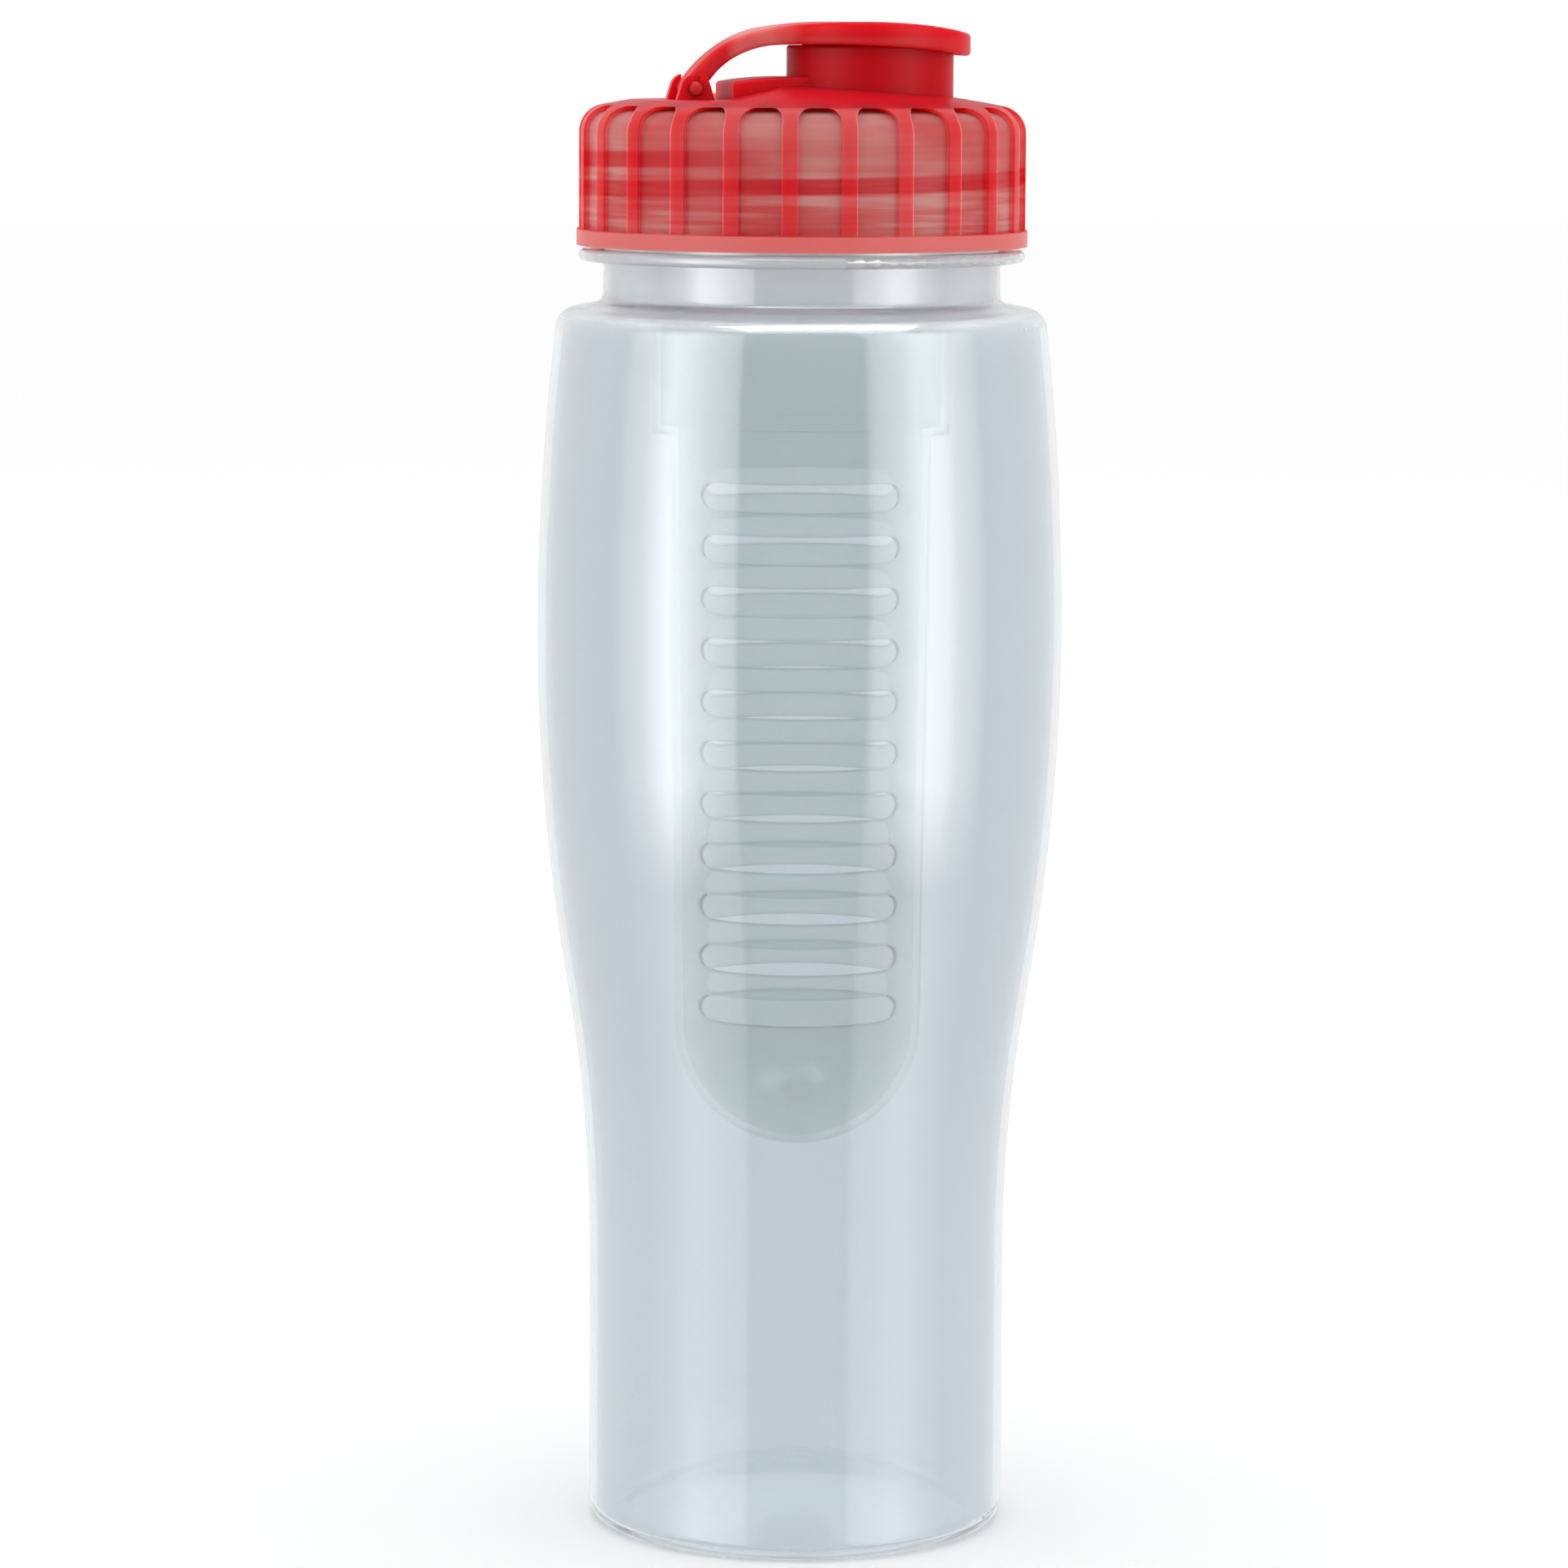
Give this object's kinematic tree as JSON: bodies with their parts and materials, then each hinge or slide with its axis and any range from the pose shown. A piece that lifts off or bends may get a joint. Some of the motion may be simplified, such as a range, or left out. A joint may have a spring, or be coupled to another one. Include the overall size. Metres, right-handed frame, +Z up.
{
  "type": "fruit infuser water bottle",
  "caption": "Clear waisted drinking bottle with a ribbed screw cap, a flip lid over a round spout and a slotted fruit basket that hangs in its neck.",
  "frame": {"origin": "centre of the standing ring, on the surface that the bottle stands on", "axes": "+Z up the bottle's axis, +X from the flip lid's hinge toward the spout"},
  "size_m": [0.0816, 0.0816, 0.2348],
  "materials": {
    "clear_bottle": "clear, polished",
    "clear_basket": "clear, polished",
    "seal": "soft white silicone",
    "red_cap": "translucent red, satin gloss",
    "red_lid": "translucent red, satin gloss"
  },
  "bodies": {
    "bottle": {"bottle_body": "clear_bottle"},
    "basket": {"infuser_basket": "clear_basket"},
    "gasket": {"neck_gasket": "seal"},
    "cap": {"screw_cap": "red_cap"},
    "lid": {"flip_lid": "red_lid"}
  },
  "joints": [
    {"name": "basket_lift", "type": "slide", "parent": "bottle", "child": "basket", "axis": [0, 0, 1], "range_m": [0, 0.17]},
    {"name": "cap_rise", "type": "slide", "parent": "basket", "child": "gasket", "axis": [0, 0, 1], "range_m": [0, 0.0069]},
    {"name": "cap_turn", "type": "hinge", "parent": "gasket", "child": "cap", "pos_m": [0, 0, 0.2105], "axis": [0, 0, 1], "range_deg": [0, 540]},
    {"name": "lid_flip", "type": "hinge", "parent": "cap", "child": "lid", "pos_m": [-0.0177, 0, 0.2245], "axis": [0, -1, 0], "range_deg": [0, 120]}
  ],
  "couplings": [
    {"joint": "cap_rise", "follows": "cap_turn", "m_per_rad": 0.0007321}
  ]
}
